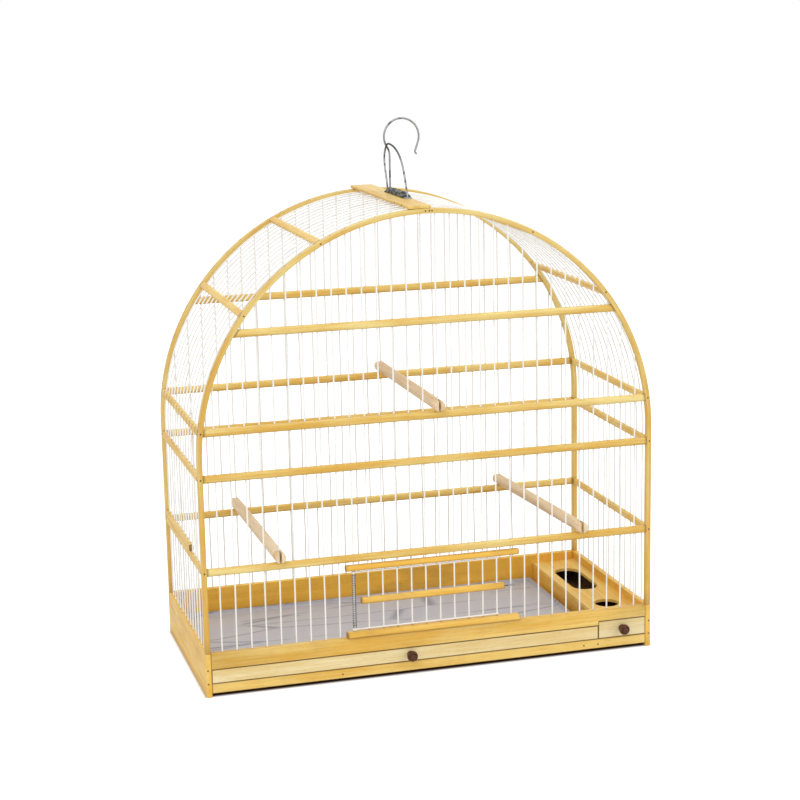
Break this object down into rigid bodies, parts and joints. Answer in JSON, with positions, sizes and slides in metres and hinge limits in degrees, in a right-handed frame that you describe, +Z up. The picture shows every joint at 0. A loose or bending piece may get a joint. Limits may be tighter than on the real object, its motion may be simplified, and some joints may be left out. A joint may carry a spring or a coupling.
{
  "type": "bird cage",
  "caption": "Arched wooden bird cage with wire sides and roof, wire door, sliding tray, food drawer, perches and a hanging hook.",
  "frame": {"origin": "on the surface that the feet stand on, in the middle of the overall width and depth", "axes": "+X to the right along the front, +Y to the back, +Z up"},
  "size_m": [0.471, 0.2304, 0.5498],
  "materials": {
    "varnished_wood": "clear varnish over pale yellow wood",
    "pale_wood": "paler strip, thin varnish",
    "perch_wood": "bare smooth turned rod",
    "dark_knob": "dark brown gloss lacquer",
    "cream_wire": "cream white coated wire",
    "grey_wire": "bare grey steel wire",
    "zinc_sheet": "dull zinc-coated sheet"
  },
  "bodies": {
    "frame": {"side_board_left": "varnished_wood", "side_board_right": "varnished_wood", "front_board": "varnished_wood", "front_strip": "varnished_wood", "back_board": "varnished_wood", "floor_panel": "varnished_wood", "feeder_shelf": "varnished_wood", "feeder_partition": "varnished_wood", "arch_front": "varnished_wood", "arch_back": "varnished_wood", "rail_front_a": "varnished_wood", "rail_front_b": "varnished_wood", "rail_front_c": "varnished_wood", "rail_front_d": "varnished_wood", "rail_back_a": "varnished_wood", "rail_back_b": "varnished_wood", "rail_back_c": "varnished_wood", "rail_back_d": "varnished_wood", "slat_left_a": "varnished_wood", "slat_left_b": "varnished_wood", "slat_left_c": "varnished_wood", "slat_right_a": "varnished_wood", "slat_right_b": "varnished_wood", "slat_right_c": "varnished_wood", "slat_roof_left_lower": "varnished_wood", "slat_roof_left_upper": "varnished_wood", "slat_roof_right_lower": "varnished_wood", "slat_roof_right_upper": "varnished_wood", "side_bar_left": "varnished_wood", "ridge_board": "varnished_wood", "door_lintel": "varnished_wood", "door_sill": "varnished_wood", "wires_front_left": "cream_wire", "wires_front_middle": "cream_wire", "wires_front_right": "cream_wire", "wires_back": "cream_wire", "wires_left": "cream_wire", "wires_right": "cream_wire", "wires_roof_crown": "cream_wire", "wires_roof_left_lower": "cream_wire", "wires_roof_left_upper": "cream_wire", "wires_roof_right_lower": "cream_wire", "wires_roof_right_upper": "cream_wire", "door_spring": "grey_wire", "hanger_saddle": "grey_wire", "hanger_bail": "grey_wire"},
    "tray": {"tray_pan": "zinc_sheet", "tray_front": "pale_wood", "tray_knob": "dark_knob"},
    "food_drawer": {"food_drawer_front": "varnished_wood", "food_drawer_box": "varnished_wood", "food_drawer_knob": "dark_knob"},
    "door": {"door_leaf": "cream_wire", "door_grip": "varnished_wood", "door_catch": "grey_wire"},
    "left_perch": {"perch_left": "perch_wood"},
    "right_perch": {"perch_right": "perch_wood"},
    "upper_perch": {"perch_upper": "perch_wood"},
    "hook": {"hanger_hook": "grey_wire"}
  },
  "joints": [
    {"name": "tray_slide", "type": "slide", "parent": "frame", "child": "tray", "axis": [0, -1, 0], "range_m": [0, 0.19]},
    {"name": "food_drawer_slide", "type": "slide", "parent": "frame", "child": "food_drawer", "axis": [0, -1, 0], "range_m": [0, 0.18]},
    {"name": "door_swing", "type": "hinge", "parent": "frame", "child": "door", "pos_m": [-0.0825, -0.10075, 0.0823], "axis": [0, 0, -1], "range_deg": [0, 110], "stiffness_Nm_per_rad": 0.004, "springref_deg": -17.19},
    {"name": "left_perch_lift", "type": "slide", "parent": "frame", "child": "left_perch", "axis": [0, 0, 1], "range_m": [0, 0.072]},
    {"name": "right_perch_lift", "type": "slide", "parent": "frame", "child": "right_perch", "axis": [0, 0, 1], "range_m": [0, 0.072]},
    {"name": "upper_perch_lift", "type": "slide", "parent": "frame", "child": "upper_perch", "axis": [0, 0, 1], "range_m": [0, 0.072]},
    {"name": "hook_swivel", "type": "hinge", "parent": "frame", "child": "hook", "pos_m": [-0.00055, 0.02675, 0.49], "axis": [0, 0, 1], "range_deg": [-35, 35]}
  ]
}
